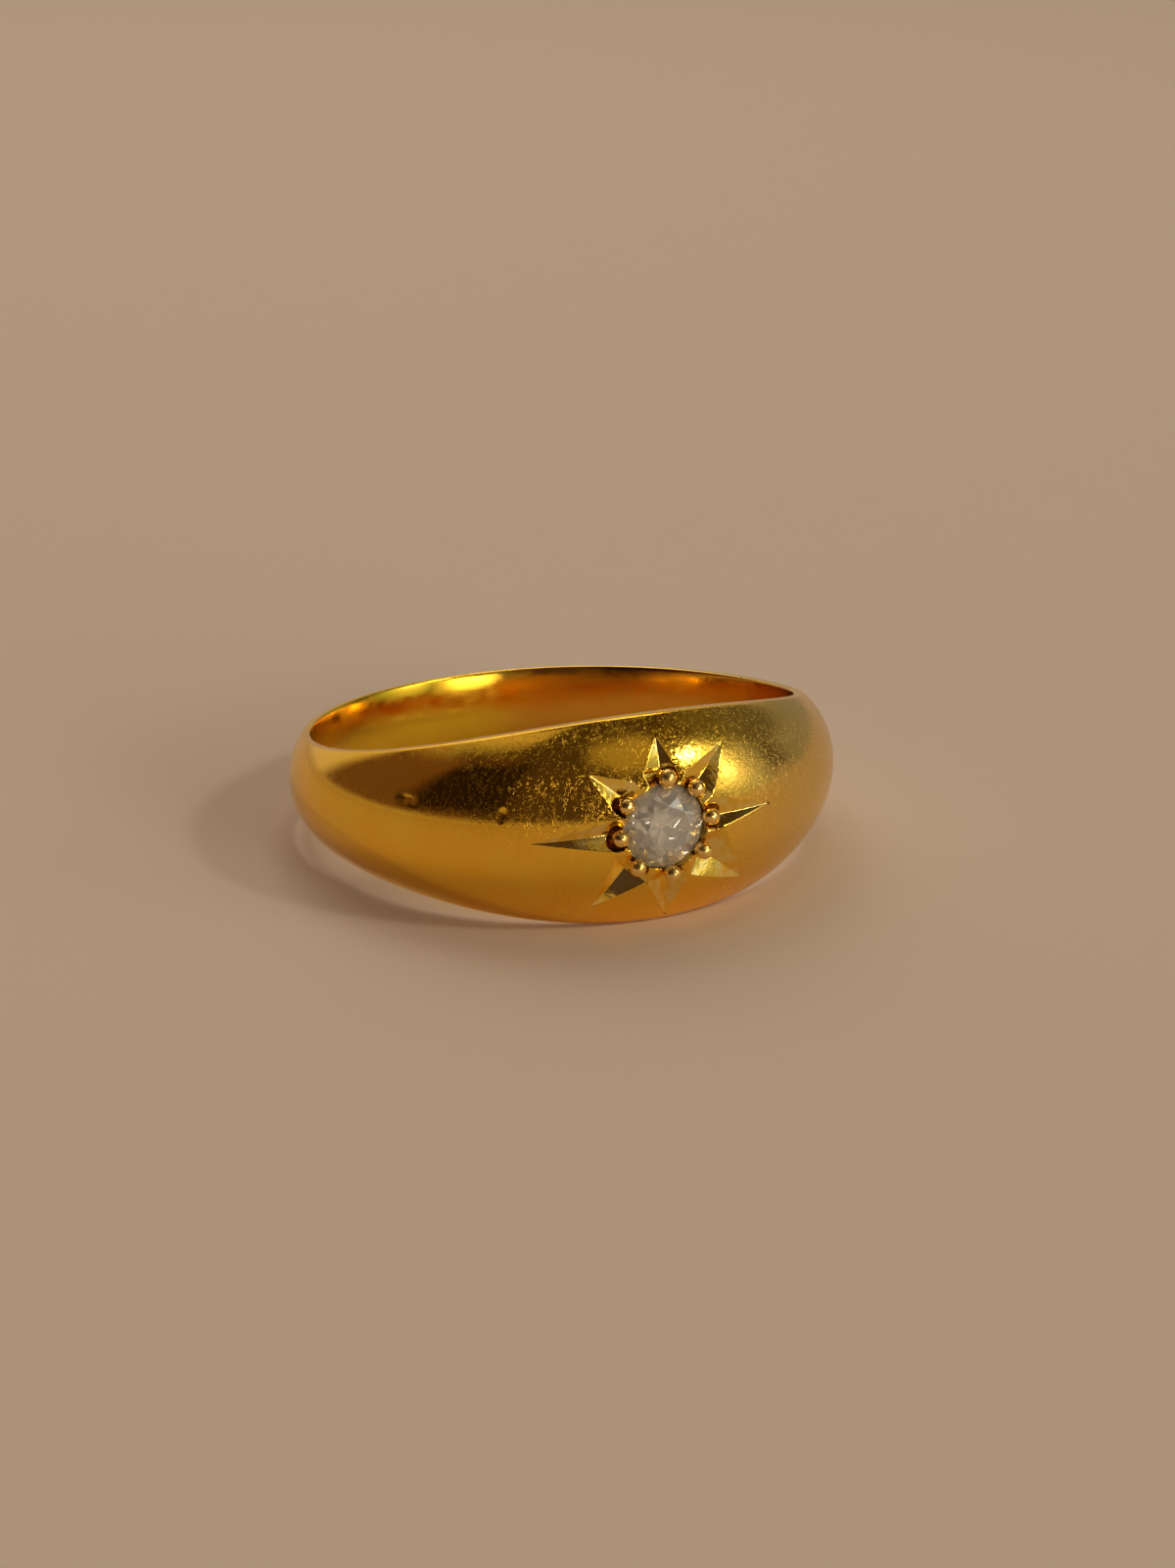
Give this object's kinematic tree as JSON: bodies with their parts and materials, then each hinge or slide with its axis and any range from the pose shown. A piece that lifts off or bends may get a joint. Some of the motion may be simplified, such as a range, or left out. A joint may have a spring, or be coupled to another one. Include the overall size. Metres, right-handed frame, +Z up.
{
  "type": "flush set gypsy ring",
  "caption": "Gold finger ring with a domed front, a round cut stone set level with the dome, and an engraved star round it with a raised bead in each ray.",
  "frame": {"origin": "middle of the floor under the ring as it lies on its side, at the middle of its overall length and width", "axes": "+Z up from the floor, -Y towards the dome and the stone, +X to the right as the stone faces the viewer"},
  "size_m": [0.0194, 0.0201, 0.0071],
  "materials": {
    "gold": "deep yellow gold, polished and softly worn, with fine scratches",
    "stone": "old cut colourless diamond, polished facets, slightly grey"
  },
  "bodies": {
    "root": {"band": "gold", "stone": "stone"}
  },
  "joints": []
}
